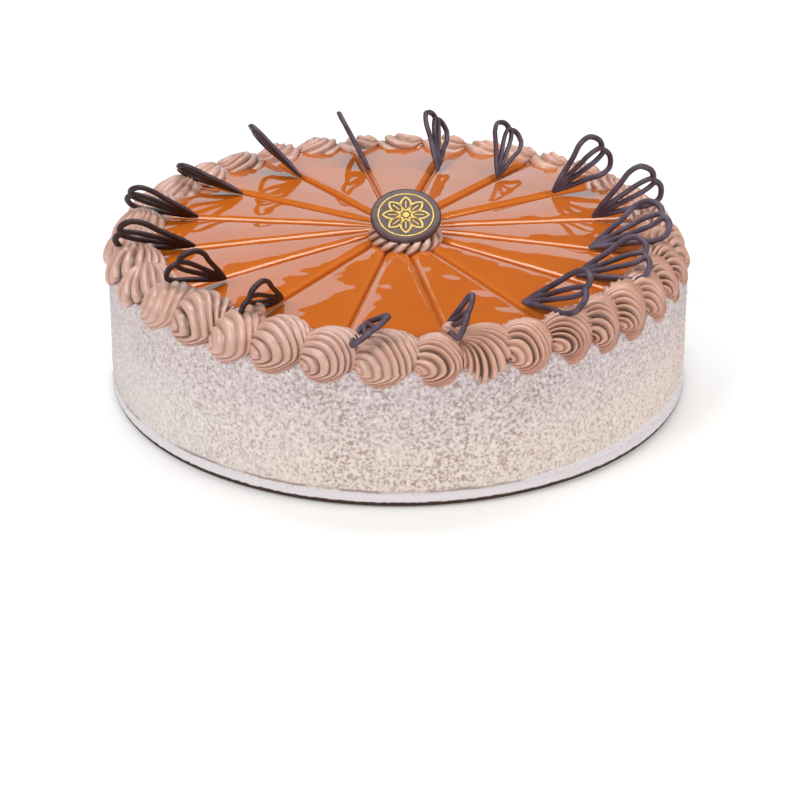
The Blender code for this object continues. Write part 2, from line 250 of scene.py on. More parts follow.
def nut_coat(finish):
    """The side and the shoulder of the cake, rough with crumbs, closed at the middle of its top and base."""
    line = np.array(coat_line())
    turns = np.linspace(0, 2 * math.pi, COAT_COLUMNS, endpoint=False)
    radius = np.repeat(line[:, 0], COAT_COLUMNS)
    height = np.repeat(line[:, 1], COAT_COLUMNS)
    turn = np.tile(turns, len(line))
    points = np.stack([radius * np.cos(turn), radius * np.sin(turn), height], 1)
    push = sum(soft_noise(points, size) * depth for size, depth in (COARSE_CRUMB, FINE_CRUMB))
    push *= crumb_share(height) * (height > FLAT_BELOW)
    points[:, 0] += push * np.cos(turn)
    points[:, 1] += push * np.sin(turn)
    faces = grid_faces(len(line), COAT_COLUMNS)
    points = np.vstack([points, [[0, 0, COAT_MIDDLE], [0, 0, 0]]])
    top, base = len(points) - 2, len(points) - 1
    last = (len(line) - 1) * COAT_COLUMNS
    for column in range(COAT_COLUMNS):
        after = (column + 1) % COAT_COLUMNS
        faces.append((after, column, top))
        faces.append((last + column, last + after, base))
    return piece("nut_coat", points, faces, finish, ("cake_body",))


def nut_grains(finish):
    """Loose nut grains on the side: eight-sided crumbs of true size, each with its own corners."""
    chance = np.random.default_rng(7)
    turn = chance.uniform(0, 2 * math.pi, GRAINS)
    height = chance.uniform(*GRAIN_HEIGHTS, GRAINS)
    size = GRAIN_SIZE[0] + (GRAIN_SIZE[1] - GRAIN_SIZE[0]) * chance.power(0.6, GRAINS)
    line = np.array(COAT_PROFILE)
    radius = np.interp(height, line[::-1, 1], line[::-1, 0])
    corners = np.array([(1, 0, 0), (-1, 0, 0), (0, 1, 0), (0, -1, 0), (0, 0, 1), (0, 0, -1)], float)
    sides = [(0, 2, 4), (2, 1, 4), (1, 3, 4), (3, 0, 4), (2, 0, 5), (1, 2, 5), (3, 1, 5), (0, 3, 5)]
    points = []
    faces = []
    for index in range(GRAINS):
        spin = np.linalg.qr(chance.normal(size=(3, 3)))[0]
        grain = (corners * chance.uniform(*GRAIN_CORNERS, (6, 1))) @ spin * size[index]
        out = np.array([math.cos(turn[index]), math.sin(turn[index]), 0])
        points.append(grain + out * (radius[index] + GRAIN_OUT) + [0, 0, height[index]])
        faces += [tuple(6 * index + corner for corner in side) for side in sides]
    return piece("nut_grains", np.vstack(points), faces, finish, smooth=False)


# Caramel: how its long edges roll down into the cuts (distance from the cut, drop), and its uneven surface.
ROLL = ((0, 1.54), (0.4, 1.15), (0.8, 0.86), (1.2, 0.61), (1.4, 0.53), (1.8, 0.37), (2.2, 0.21), (2.5, 0.11),
        (2.9, 0.04), (3.4, 0))
HALF_CUT = 0.2
GLAZE_WAVES = ((26.0, 0.20), (12.0, 0.11), (5.0, 0.035))
GLAZE_CROWN = 0.0021
GLAZE_STATIONS = 56
GLAZE_ACROSS = 41
GLAZE_CROWDING = 1.3

# How each sector differs: how wide its roll is, how much it leans, and its part of the waves.
ROLL_FACTORS = (0.9, 1.15)
ROLL_MOST = 0.8
GLAZE_LEAN = 0.006
WAVE_SHIFT = 0.7
SHARP_OVER = 50


def caramel_glaze(number, finish):
    """One sector of glaze, its surface slightly uneven, its long edges rolling down into the cuts."""
    chance = random.Random(number)
    half = math.pi / SECTORS
    middle = math.radians(FIRST_CUT) + 2 * half * (number - 0.5)
    roll_by = chance.uniform(*ROLL_FACTORS)
    lean = chance.uniform(-GLAZE_LEAN, GLAZE_LEAN)
    points = []
    for station in range(GLAZE_STATIONS):
        share = (station / (GLAZE_STATIONS - 1)) ** GLAZE_CROWDING
        radius = TIP_RADIUS + (RIM_RADIUS - TIP_RADIUS) * share
        reach = radius * math.tan(half) - HALF_CUT
        for column in range(GLAZE_ACROSS):
            side = reach * math.sin(math.pi / 2 * (2 * column / (GLAZE_ACROSS - 1) - 1))
            roll = min(roll_by, ROLL_MOST * reach / ROLL[-1][0])
            drop = roll * np.interp((reach - abs(side)) / roll, *zip(*ROLL))
            crown = GLAZE_CROWN * side ** 2
            height = cone(radius) - drop - crown + lean * side
            points.append((math.sqrt(radius ** 2 - side ** 2), side, height))
        for side in (reach, -reach):
            points.append((math.sqrt(radius ** 2 - side ** 2), side, cone(radius) - SLAB))
    points = np.array(points)
    wide = GLAZE_ACROSS + 2
    turn = np.array([[math.cos(middle), math.sin(middle)], [-math.sin(middle), math.cos(middle)]])
    points[:, :2] = points[:, :2] @ turn
    wave = sum(soft_noise(points, size, number * WAVE_SHIFT) * depth for size, depth in GLAZE_WAVES)
    wave.reshape(-1, wide)[:, GLAZE_ACROSS:] = 0
    points[:, 2] += wave
    faces = grid_faces(GLAZE_STATIONS, wide)
    faces.append(tuple(range(wide - 1, -1, -1)))
    faces.append(tuple((GLAZE_STATIONS - 1) * wide + column for column in range(wide)))
    node = f"caramel_wedge_{number:02d}"
    faces = [face[::-1] for face in faces]
    made = piece(f"caramel_glaze_{number:02d}", points, faces, finish, (node,))
    made.data.set_sharp_from_angle(angle=math.radians(SHARP_OVER))
    return made


# Piped shells, as the solids have them, with finer ridges.
SHELL_RADIUS = 110.5
SHELL_HEIGHT = 57.6
SHELL_DEEP = 13.2
SHELL_TALL = 11.0
SHELL_UNDER = 8.0
SHELL_RIGHT = 13.6
SHELL_LEFT = 11.6
SHELL_SMALLER = 0.15
SHELL_SMALLEST_AT = 60
SHELL_TURNS = (
    -92.9, -82.7, -74.0, -65.5, -56.1, -48.3, -40.5, -31.3, -22.7, -14.4, -5.6, 3.6, 12.8,
    22.2, 31.6, 41.0, 50.3, 59.2, 68.2, 77.8, 88.6, 98.6, 109.0, 119.4, 130.4, 141.4,
    152.2, 163.0, 173.8, 184.4, 194.9, 205.6, 216.8, 227.6, 237.1, 246.5, 256.6,
)

# A shell's outer end is narrower by this share and hangs by this many millimetres, and its left corner
# reaches out by up to half of the third value. A slanted shell doesn't lean at its pivot, this share of the
# way from its middle to its outer end, and leans more and more from there inward.
SHELL_TAPER = 0.15
SHELL_SAG = 2.6
SHELL_CORNER = 0.15
SHELL_PIVOT = 0.85

# Angles of the points round a ridge, closer together for a shell with teeth along its inner edge.
RIDGE_SWING = (
    0, 9, 18, 27, 36, 45, 54, 63, 72, 81, 90, 100, 112, 126,
    142, 160, 180, 200, 220, 238, 254, 268, 282, 296, 310, 324, 338, 350,
)
TEETH_SWING = (*range(0, 40, 8), *np.arange(40, 148, 1.2), *range(150, 356, 11))
TEETH_ANGLE = 12.5
TEETH_TWIST = 0.25
TEETH_FROM = 64
TEETH_FADE = 20
TEETH_SAMPLES = 5
RIDGE_SAMPLES = 6
RAY_SAMPLES = 7
RAY_ROWS = 20

# Where the last ridge ends, in degrees: to the sides, at the inner edge, and under the outer end.
RIDGE_SIDE_END = 84
RIDGE_INNER_END = -14.0
RIDGE_OUTER_END = 208.0

# How ridges differ in width and depth, and how far a shell's size, its curl and its ridges' run stray.
RIDGE_WIDTHS = (0.72, 1.28)
RIDGE_DEPTHS = (0.5, 1.25)
SIZE_STRAY = 0.03
CURL_STRAY = (3, 5)
WOBBLE = (0.05, 0.03)
LUMP_SIZE = 34.0
LUMP_SHIFT = 40.0

# How far a curl's middle and a shell's core lie under the surface, and the groove depth at which its painted
# shade is full.
CURL_SINK = 1.4
CORE_SINK = 6.0
FULL_SHADE_DEPTH = 3.2

# Shells' looks round the cake: turn, ridges round the curl, rays from it, their depth and how wide the
# grooves are, where the curl sits (across and along), how early the ridges reach inward and widen, how far
# rays swirl, how far the ridges' tops lean to the right, teeth at the inner edge, slant, lumps, lift, and
# height factor.
SHELL_LOOKS = (
    (-103.4, 11, 0, 2.0, 0.85, -54, 170, -0.4, 1.9, 0.0, 0.15, 0.0, 0.15, 0.3, 0.4, 1.0),
    (-92.9, 11, 0, 2.1, 1.0, -54, 172, -0.4, 1.4, 0.0, 0.15, 0.0, 0.15, 0.3, 0.0, 1.0),
    (-82.7, 11, 0, 2.5, 1.4, -46, 166, -0.2, 1.8, 0.0, 0.0, 0.0, 0.10, 0.25, -0.4, 0.88),
    (-74.0, 0, 36, 2.5, 1.3, -66, 105, 0.1, 0.0, 0.8, 0.0, 0.0, 0.30, 0.2, 0.0, 1.0),
    (-65.5, 12, 0, 3.3, 1.8, -52, 166, 0.2, 1.5, 0.0, 0.0, 0.8, 0.25, 0.2, 0.0, 1.0),
    (-56.1, 12, 0, 3.5, 2.0, -46, 162, -0.1, 1.6, 0.0, 0.0, 0.9, 0.60, 0.2, 0.0, 1.0),
    (-48.3, 12, 0, 3.5, 2.0, -50, 162, -0.1, 1.6, 0.0, 0.0, 0.8, 0.80, 0.2, 0.0, 1.0),
    (-40.5, 13, 0, 3.5, 2.0, -44, 164, -0.1, 1.6, 0.0, 0.0, 0.9, 1.05, 0.2, 0.0, 1.0),
    (-31.3, 12, 0, 3.7, 2.5, -50, 163, 0.3, 1.6, 0.0, 0.0, 0.8, 0.85, 0.2, 0.0, 1.0),
    (-18.0, 12, 0, 3.7, 2.6, -50, 164, 0.3, 1.6, 0.0, 0.0, 0.9, 0.80, 0.3, 0.0, 1.0),
    (-5.6, 9, 0, 2.5, 1.3, -50, 162, 0.1, 2.0, 0.0, 0.0, 0.4, 0.55, 0.4, 0.0, 1.0),
    (20.0, 8, 0, 1.9, 1.0, -54, 160, 0.3, 1.2, 0.0, 0.10, 0.0, 0.20, 0.6, 0.0, 1.0),
    (60.0, 6, 0, 1.9, 0.9, -50, 140, -0.5, 0.8, 0.0, 0.20, 0.0, 0.15, 1.0, 0.0, 1.0),
    (90.0, 5, 0, 2.0, 0.8, -46, 115, -0.3, 0.8, 0.0, 0.20, 0.0, 0.15, 1.2, 0.0, 1.0),
    (119.4, 6, 0, 2.0, 0.8, 50, 105, -0.3, 0.8, 0.0, 0.0, 0.0, 0.0, 1.2, 0.0, 1.0),
    (152.2, 0, 20, 1.4, 0.9, -62, 90, 0.1, 0.0, 0.4, 0.0, 0.0, 0.15, 0.6, 0.0, 1.0),
    (175.0, 0, 22, 1.8, 1.0, -64, 80, 0.1, 0.0, 0.3, 0.0, 0.0, 0.2, 0.4, 0.3, 1.0),
    (194.9, 0, 22, 2.6, 1.2, -66, 76, 0.1, 0.0, 0.25, 0.0, 0.0, 0.2, 0.3, 0.5, 1.0),
    (205.6, 0, 22, 2.4, 1.1, -60, 78, 0.1, 0.0, 0.3, 0.0, 0.0, 0.15, 0.3, 1.0, 1.0),
    (216.8, 7, 0, 1.3, 0.6, -54, 166, -0.2, 1.2, 0.0, 0.0, 0.0, 0.0, 0.4, 1.2, 0.95),
    (227.6, 8, 0, 2.4, 0.8, -52, 166, -0.8, 2.2, 0.0, 0.0, 0.0, 0.0, 0.3, 2.4, 1.12),
    (237.1, 8, 0, 1.8, 0.65, -54, 168, -0.6, 1.5, 0.0, 0.0, 0.0, 0.0, 0.35, 1.0, 1.0),
    (246.5, 9, 0, 1.7, 0.7, -50, 166, -0.5, 1.9, 0.0, 0.0, 0.0, 0.05, 0.3, 1.0, 1.12),
)


def shell_size(turn):
    """Size factor of the shell at a turn: full at the front and left, smaller at the right and the back."""
    share = (math.cos(math.radians(turn - SHELL_SMALLEST_AT)) + 0.25) / 0.9
    return 1.0 - SHELL_SMALLER * min(1.0, max(0.0, share))


def eased(share, bend):
    """0 to 1 over the share: early for a positive bend, late for a negative one."""
    return (1 - np.exp(-bend * share)) / (1 - math.exp(-bend))


def shell_points(turn, across, along, sink, size, form):
    """Points of one shell, from two angles: across it, and along it from its inner edge over the top.
    Its form is its spread, slant, lift and height factor."""
    spread, slant, lift, high = form
    across = np.radians(across)
    along = np.radians(along)
    taper = SHELL_TAPER * np.clip((along - math.radians(150)) / math.radians(60), 0, 1)
    wide = spread * np.where(across > 0, SHELL_RIGHT, SHELL_LEFT) * (1 - taper)
    inward = np.cos(across) * np.cos(along)
    upward = np.cos(across) * np.sin(along)
    side = np.sin(across)
    tall = np.where(upward > 0, SHELL_TALL * high, SHELL_UNDER)
    corner = 1 + SHELL_CORNER * np.maximum(0, -side) * np.maximum(0, -inward)
    round_off = np.sqrt((inward / SHELL_DEEP) ** 2 + (upward / tall) ** 2 + (side / wide) ** 2)
    reach = size * corner / round_off - sink
    radius = SHELL_RADIUS - inward * reach
    sideways = (side + slant * (0.5 + 0.5 * side) * (inward + SHELL_PIVOT)) * reach
    x = radius * math.cos(turn) - sideways * math.sin(turn)
    y = radius * math.sin(turn) + sideways * math.cos(turn)
    sag = SHELL_SAG * np.maximum(0, -inward) ** 1.5 * (1 + 0.6 * np.maximum(0, -side))
    return np.stack([x, y, SHELL_HEIGHT + lift + upward * reach - sag], -1)


def ridge_steps(chance, count, samples):
    """Places from 0 to 1 across ridges of uneven width, and how many ridges lie before each place."""
    ends = np.cumsum([0.0] + [chance.uniform(*RIDGE_WIDTHS) for ridge in range(count)])
    phase = np.arange(1, count * samples + 1) / samples
    return np.interp(phase, np.arange(count + 1), ends / ends[-1]), phase


def cream_shell(number):
    """Points, faces and painted groove shade of one shell. Its ridges run round a curl, or out from it as
    rays.
    """
    chance = random.Random(number)
    count = len(SHELL_TURNS)
    turn = SHELL_TURNS[number]
    before = (turn - SHELL_TURNS[number - 1]) % 360
    after = (SHELL_TURNS[(number + 1) % count] - turn) % 360
    spread = (before + after) * count / 720
    size = shell_size(turn) + chance.uniform(-SIZE_STRAY, SIZE_STRAY)
    look = min(SHELL_LOOKS, key=lambda each: 1 - math.cos(math.radians(each[0] - turn)))
    ridges, rays, depth, sharp, curl_across, curl_along, bend = look[1:8]
    widen, swirl, lean, teeth, slant, lumps = look[8:14]
    form = (spread, slant, *look[14:])
    flip = -1 if curl_across > 0 else 1
    curl_across = curl_across * flip + chance.uniform(-CURL_STRAY[0], CURL_STRAY[0])
    curl_along += chance.uniform(-CURL_STRAY[1], CURL_STRAY[1])
    uneven = np.array([chance.uniform(*RIDGE_DEPTHS) for ridge in range(ridges + rays + 1)])
    if ridges:
        share, phase = ridge_steps(chance, ridges, TEETH_SAMPLES if teeth else RIDGE_SAMPLES)
        share = share ** 1.2
        swing = np.radians(TEETH_SWING if teeth else RIDGE_SWING)[None, :] + 0 * share[:, None]
        deep = uneven[np.round(phase).astype(int)] * np.minimum(1.0, 0.45 + share * 2.7)
        reach = 0.6 + 0.4 * np.clip(0.5 + 0.65 * np.cos(swing - math.radians(20)), 0, 1)
        reach = reach * (1 - 0.25 * np.maximum(0, -np.sin(swing)))
        groove = ((1 - np.abs(np.cos(math.pi * phase)) ** sharp) * deep)[:, None] * reach
    else:
        around, phase = ridge_steps(chance, rays, RAY_SAMPLES)
        share = np.linspace(0.03, 1, RAY_ROWS)
        swing = 2 * math.pi * around[None, :] - swirl * share[:, None]
        deep = uneven[np.round(phase).astype(int) % rays]
        groove = ((1 - np.abs(np.cos(math.pi * phase)) ** sharp) * deep)[None, :]
        groove = groove * (0.15 + 0.85 * np.minimum(1.0, share * 1.7))[:, None]
    share = share[:, None]
    wobble = 1 + WOBBLE[0] * np.sin(2 * swing + chance.uniform(0, 6))
    wobble = wobble + WOBBLE[1] * np.sin(3 * swing + chance.uniform(0, 6))
    narrow = (RIDGE_SIDE_END + curl_across) / (RIDGE_SIDE_END - curl_across)
    right = np.cos(swing) * np.where(np.cos(swing) > 0, 1.0, narrow)
    right = (right + lean * np.maximum(np.sin(swing), 0)) * wobble
    widened = eased(share, widen) if ridges else share
    across = curl_across + widened * right / right.max() * (RIDGE_SIDE_END - curl_across)
    inward = (curl_along - RIDGE_INNER_END) * eased(share, bend)
    under = (RIDGE_OUTER_END - curl_along) * eased(share, 1.2 if ridges else 0.1)
    along = curl_along - np.sin(swing) * np.where(np.sin(swing) > 0, inward * wobble, under)
    if teeth:
        comb = (1 - np.abs(np.cos(math.pi * (across + TEETH_TWIST * along) / TEETH_ANGLE)) ** 1.3) * teeth
        inner = np.clip((TEETH_FROM - along) / TEETH_FADE, 0, 1)
        groove = groove * (1 - inner) + comb * inner
    spots = np.stack([across, along, 0 * across + LUMP_SHIFT * number], -1).reshape(-1, 3)
    sink = groove * depth + lumps * soft_noise(spots, LUMP_SIZE).reshape(groove.shape)
    where = math.radians(turn)
    points = shell_points(where, across * flip, along, sink, size, form).reshape(-1, 3)
    pole = shell_points(where, np.array(curl_across * flip), np.array(curl_along), CURL_SINK, size, form)
    core = shell_points(where, np.array(0.0), np.array(-90.0), CORE_SINK, size, form)
    rows, wide = groove.shape
    faces = grid_faces(rows, wide)
    last = len(points) - wide
    for column in range(wide):
        after = (column + 1) % wide
        faces.append((after, column, len(points)))
        faces.append((last + column, last + after, len(points) + 1))
    if flip < 0:
        faces = [face[::-1] for face in faces]
    # The third list is painted groove shade: deeper grooves are darker, and the curl's middle and the core
    # are fully dark.
    return np.vstack([points, pole, core]), faces, np.append(groove * min(1.0, depth / FULL_SHADE_DEPTH), (1, 1))


# Small folds of cream beside two fans: middle, half sizes along the rim, across it and up, and lean.
CREAM_FOLDS = (((-55.0, -87.0, 66.6), (5.2, 3.4, 3.8), 24), ((20.4, -103.4, 66.2), (4.6, 3.0, 3.4), -22))
FOLD_RIDGES = 7
FOLD_TWIST = 0.7
FOLD_GROOVE = 0.22


def cream_fold(middle, half, lean):
    """Points, faces and painted groove shade of a small ridged fold."""
    rows = np.radians(np.linspace(4, 176, 14))[:, None]
    around = np.radians(np.arange(0, 360, 9))[None, :]
    ridge = 1 - np.abs(np.cos(FOLD_RIDGES / 2 * around + FOLD_TWIST * rows))
    ring = np.sin(rows) * (1 - FOLD_GROOVE * ridge)
    along = half[0] * np.cos(rows) + 0 * around
    across = half[1] * ring * np.cos(around)
    up = half[2] * ring * np.sin(around)
    tilt = math.radians(lean)
    turn = math.atan2(middle[1], middle[0]) + math.pi / 2
    along, up = along * math.cos(tilt) - up * math.sin(tilt), along * math.sin(tilt) + up * math.cos(tilt)
    x = middle[0] + along * math.cos(turn) - across * math.sin(turn)
    y = middle[1] + along * math.sin(turn) + across * math.cos(turn)
    points = np.stack([x, y, middle[2] + up], -1).reshape(-1, 3)
    wide = around.shape[1]
    faces = grid_faces(len(rows), wide)
    faces.append(tuple(range(wide - 1, -1, -1)))
    faces.append(tuple(len(points) - wide + column for column in range(wide)))
    return points, faces, 0.5 * ridge.reshape(-1)


def cream_border(finish):
    """All the shells and the folds, as one piece."""
    points = []
    faces = []
    grooves = []
    parts = [cream_shell(number) for number in range(len(SHELL_TURNS))]
    for shell, over, groove in parts + [cream_fold(*fold) for fold in CREAM_FOLDS]:
        first = sum(len(part) for part in points)
        faces += [tuple(first + corner for corner in face)[::-1] for face in over]
        points.append(shell)
        grooves.append(groove)
    made = piece("cream_shells", np.vstack(points), faces, finish, ("cream_border",))
    # Each point keeps the painted shade of its groove.
    return mark(made, "groove", np.concatenate(grooves))


def mark(made, name, values):
    """Keeps a value from 0 to 1 for each point under a name that the finish reads."""
    kept = made.data.attributes.new(name, "FLOAT", "POINT")
    kept.data.foreach_set("value", np.clip(values, 0, 1))
    return made


# Centre: the rosette under the disc, and the disc.
ROSETTE_AT = (3.0, -9.0)
ROSETTE_RADIUS = 15.0
ROSETTE_RIDGES = 16
DISC_AT = (3.2, -10.0, 75.0)
DISC_RADIUS = 14.7
DISC_THICK = 2.4
DISC_TILT = 27.0

# The rosette is cut back under the disc, this much past its edge and this far below it.
DISC_ROOM = 0.4
DISC_CLEAR = 0.1


def disc_frame():
    """Centre of the disc, and three directions: right, uphill across its face, and out of its face."""
    tilt = math.radians(DISC_TILT)
    uphill = np.array([0, math.cos(tilt), math.sin(tilt)])
    return np.array(DISC_AT), np.array([1.0, 0, 0]), uphill, np.array([0, -math.sin(tilt), math.cos(tilt)])


def centre_rosette(finish):
    """A mound of piped cream with twisted ridges, kept under the disc's lower face."""
    centre, *_, normal = disc_frame()
    levels = ((61.0, 0.84), (62.5, 0.9), (63.6, 0.97), (64.8, 1.0), (66.0, 1.0), (67.0, 0.95), (68.0, 0.88),
              (70.0, 0.78), (73.0, 0.62), (77.0, 0.36), (79.5, 0.12))
    steps = ROSETTE_RIDGES * 8
    turn = np.linspace(0, 2 * math.pi, steps, endpoint=False)
    points = []
    for height, share in levels:
        twist = turn + math.radians((height - 62.5) * 4.0)
        wave = np.abs(np.cos(turn * ROSETTE_RIDGES / 2)) * 2.0 - 1.2
        radius = (ROSETTE_RADIUS + wave) * share
        stretch = np.where(np.sin(twist) < 0, 1.12, 1.0)
        x = ROSETTE_AT[0] + radius * np.cos(twist)
        y = ROSETTE_AT[1] + radius * np.sin(twist) * stretch
        points.append(np.stack([x, y, np.full(steps, height)], 1))
    points = np.vstack(points)
    lift = (points - centre) @ normal
    flat = points - centre - np.outer(lift, normal)
    under = (np.linalg.norm(flat, axis=1) < DISC_RADIUS + DISC_ROOM) & (lift > -DISC_THICK - DISC_CLEAR)
    points[under] -= np.outer(lift[under] + DISC_THICK + DISC_CLEAR, normal)
    faces = grid_faces(len(levels), steps)
    faces.append(tuple(range(steps - 1, -1, -1)))
    faces.append(tuple((len(levels) - 1) * steps + step for step in range(steps)))
    made = piece("rosette", points, faces, finish, ("centre_rosette",))
    # Painted shade in the rosette's grooves, read by the cream finish.
    return mark(made, "groove", np.tile(1 - np.abs(np.cos(turn * ROSETTE_RIDGES / 2)), len(levels)))


def chocolate_disc(finish):
    """The thin disc, its rim rounded, its face very slightly dished."""
    centre, right, uphill, normal = disc_frame()
    rim = [(0.0, -0.06), (5.0, -0.05), (9.5, -0.02), (12.6, 0.0), (13.7, -0.02), (14.25, -0.12)]
    rim += [(14.55, -0.38), (DISC_RADIUS, -0.8), (DISC_RADIUS, -1.5), (14.5, -2.05)]
    rim += [(14.1, -DISC_THICK), (0.0, -DISC_THICK)]
    steps = 96
    points = [centre + normal * rim[0][1]]
    for radius, drop in rim[1:-1]:
        for step in range(steps):
            turn = 2 * math.pi * step / steps
            spot = right * math.cos(turn) + uphill * math.sin(turn)
            points.append(centre + spot * radius + normal * drop)
    points.append(centre + normal * rim[-1][1])
    faces = [face[::-1] for face in grid_faces(len(rim) - 2, steps, first=1)]
    last = 1 + (len(rim) - 3) * steps
    for step in range(steps):
        after = (step + 1) % steps
        faces.append((0, 1 + step, 1 + after))
        faces.append((len(points) - 1, last + after, last + step))
    return piece("disc", np.array(points), faces, finish, ("medallion",))


def flat_band(line, width, closed):
    """Left and right edge points of a band of this width along a line in the disc's face."""
    line = np.asarray(line, float)
    ahead = np.roll(line, -1, 0) - np.roll(line, 1, 0)
    if not closed:
        ahead[0] = line[1] - line[0]
        ahead[-1] = line[-1] - line[-2]
    across = np.stack([-ahead[:, 1], ahead[:, 0]], 1) / np.linalg.norm(ahead, axis=1)[:, None]
    return line + across * width / 2, line - across * width / 2


# Gold ornament: its ring, its petals (where they start and end, and half their width), eye, line and lift.
PRINT_RING = 11.4
PRINT_PETALS = 8
PRINT_PETAL = (2.2, 9.6)
PRINT_PETAL_HALF = 2.15
PRINT_EYE = 1.35
PRINT_LINE = 0.75
PRINT_LIFT = 0.09


def gold_print(finish):
    """A plain gold ornament on the disc: a thin ring, and eight petals round a small eye."""
    centre, right, uphill, normal = disc_frame()
    points = []
    faces = []

    def lay(flat, sides):
        first = len(points)
        for x, y in flat:
            points.append(centre + right * x + uphill * y + normal * PRINT_LIFT)
        faces.extend(tuple(first + corner for corner in side) for side in sides)

    def band(line, width, closed):
        left, other = flat_band(line, width, closed)
        count = len(line)
        quads = []
        for here in range(count if closed else count - 1):
            after = (here + 1) % count
            quads.append((count + here, count + after, after, here))
        lay(np.vstack([left, other]), quads)

    def spot(x, y, radius):
        turns = np.linspace(0, 2 * math.pi, 16, endpoint=False)
        ring = [(x + radius * math.cos(turn), y + radius * math.sin(turn)) for turn in turns]
        lay(ring, [tuple(range(16))])

    around = np.linspace(0, 2 * math.pi, 96, endpoint=False)
    band(np.stack([np.cos(around), np.sin(around)], 1) * PRINT_RING, PRINT_LINE * 0.7, True)
    near, far = PRINT_PETAL
    swell = np.linspace(0, 1, 15)
    for petal in range(PRINT_PETALS):
        turn = 2 * math.pi * petal / PRINT_PETALS
        spin = np.array([[math.cos(turn), math.sin(turn)], [-math.sin(turn), math.cos(turn)]])
        length = near + (far - near) * swell
        width = PRINT_PETAL_HALF * np.sin(math.pi * swell) ** 0.8
        outline = np.vstack([np.stack([length, width], 1), np.stack([length, -width], 1)[-2:0:-1]])
        band(outline @ spin, PRINT_LINE, True)
        band(np.stack([length[3:11], width[3:11] * 0], 1) @ spin, PRINT_LINE * 0.6, False)
    spot(0, 0, PRINT_EYE)
    return piece("gold_ornament", np.array(points), faces, finish)


# Chocolate fans: turn round the cake, tip radius, rise, lean, twist, length factor, width factor.
FAN_PLACES = (
    (169.6, 86.8, 28, 40, -5, 0.86, 0.91),
    (190.8, 85.4, 19, 36, -10, 0.91, 0.89),
    (215.8, 84.9, 35, 29, -10, 0.80, 0.86),
    (236.8, 82.6, 24, 22, -2, 0.81, 0.77),
    (261.8, 92.5, 30, 50, -9, 0.81, 0.81),
    (280.4, 97.2, 39, 24, -7, 0.76, 0.86),
    (303.6, 86.9, 35, 44, -6, 0.90, 0.81),
    (327.1, 84.4, 32, 52, 2, 0.84, 0.92),
    (346.4, 81.0, 39, 54, -9, 0.95, 0.81),
    (10.0, 84.2, 32, -9, 1, 0.88, 0.89),
    (32.4, 80.5, 36, -4, -9, 0.84, 0.95),
    (53.9, 75.5, 38, 33, -3, 0.81, 0.77),
    (75.4, 71.3, 40, 28, -6, 0.83, 0.82),
    (100.4, 72.9, 25, 26, 1, 0.88, 0.97),
    (124.3, 76.7, 38, 37, -6, 0.88, 0.97),
    (147.8, 80.6, 33, 51, -3, 0.83, 0.95),
)

# The fan's strands in its own plane, from the tip outward: one side, and one of the two in the middle.
SIDE_LINE = (
    (0, 0.3), (9.5, 4.5), (18.9, 8.7), (25.8, 12.5), (31.4, 12.8),
    (34.1, 10.2), (35.7, 6.4), (35.5, 2.8), (34.0, 0),
)
MIDDLE_LINE = ((0, 0.3), (9.4, 1.25), (18.8, 2.2), (26.8, 2.95), (31.9, 2.4), (34.4, 1.2), (35.0, 0))

# A strand: its radius, its share of that at the tip, the length in which it would grow by a whole radius,
# how deep its flat back lies as a share of the radius, and how far the strand lies behind the fan's plane.
STRAND = 1.52
STRAND_TIP = 0.5
STRAND_GROWTH = 14
STRAND_BACK = 0.45
STRAND_SINK = 0.35

# The solid web at the tip: half of its outline, and its back and front faces.
WEB = ((-0.3, 0), (7.0, 2.9), (8.5, 0))
WEB_FACES = (-0.85, -0.1)
FAN_VOXEL = 0.4

# How high a fan's tip stands over the caramel, how much its plane bends and over what length, and where its
# bloom, which also serves as painted sheen, starts and within what depth it is full.
FAN_RAISE = 0.9
FAN_BEND = 0.25
FAN_BEND_SIZE = 14.0
FRONT_FROM = -0.9
FRONT_OVER = 0.8


def smooth_line(line, per_part):
    """A smooth curve through all the points of a line, with this many steps between two of them."""
    line = np.array(line, float)
    full = np.vstack([2 * line[0] - line[1], line, 2 * line[-1] - line[-2]])
    share = np.linspace(0, 1, per_part, endpoint=False)[:, None]
    found = []
    for a, b, c, d in zip(full, full[1:], full[2:], full[3:]):
        curve = 2 * b + (c - a) * share + (2 * a - 5 * b + 4 * c - d) * share ** 2
        found.append(0.5 * (curve + (3 * b - a - 3 * c + d) * share ** 3))
    return np.vstack(found + [line[-1:]])


def strand(work, line, radius):
    """A closed tube along a line in the fan's plane: its front round, its back flat, as piped on a sheet."""
    sides = 12
    ahead = np.gradient(line, axis=0)
    ahead /= np.linalg.norm(ahead, axis=1)[:, None]
    rings = []
    for (x, y), (ax, ay) in zip(line, ahead):
        ring = []
        thick = radius * min(1.0, STRAND_TIP + x / STRAND_GROWTH)
        for side in range(sides):
            turn = 2 * math.pi * side / sides
            out = thick * math.cos(turn)
            lift = max(thick * math.sin(turn), -STRAND_BACK * thick) - STRAND_SINK
            ring.append(work.verts.new((x - ay * out, y + ax * out, lift)))
        rings.append(ring)
    for near, far in zip(rings, rings[1:]):
        for side in range(sides):
            after = (side + 1) % sides
            work.faces.new((near[side], near[after], far[after], far[side]))
    work.faces.new(rings[0][::-1])
    work.faces.new(rings[-1])


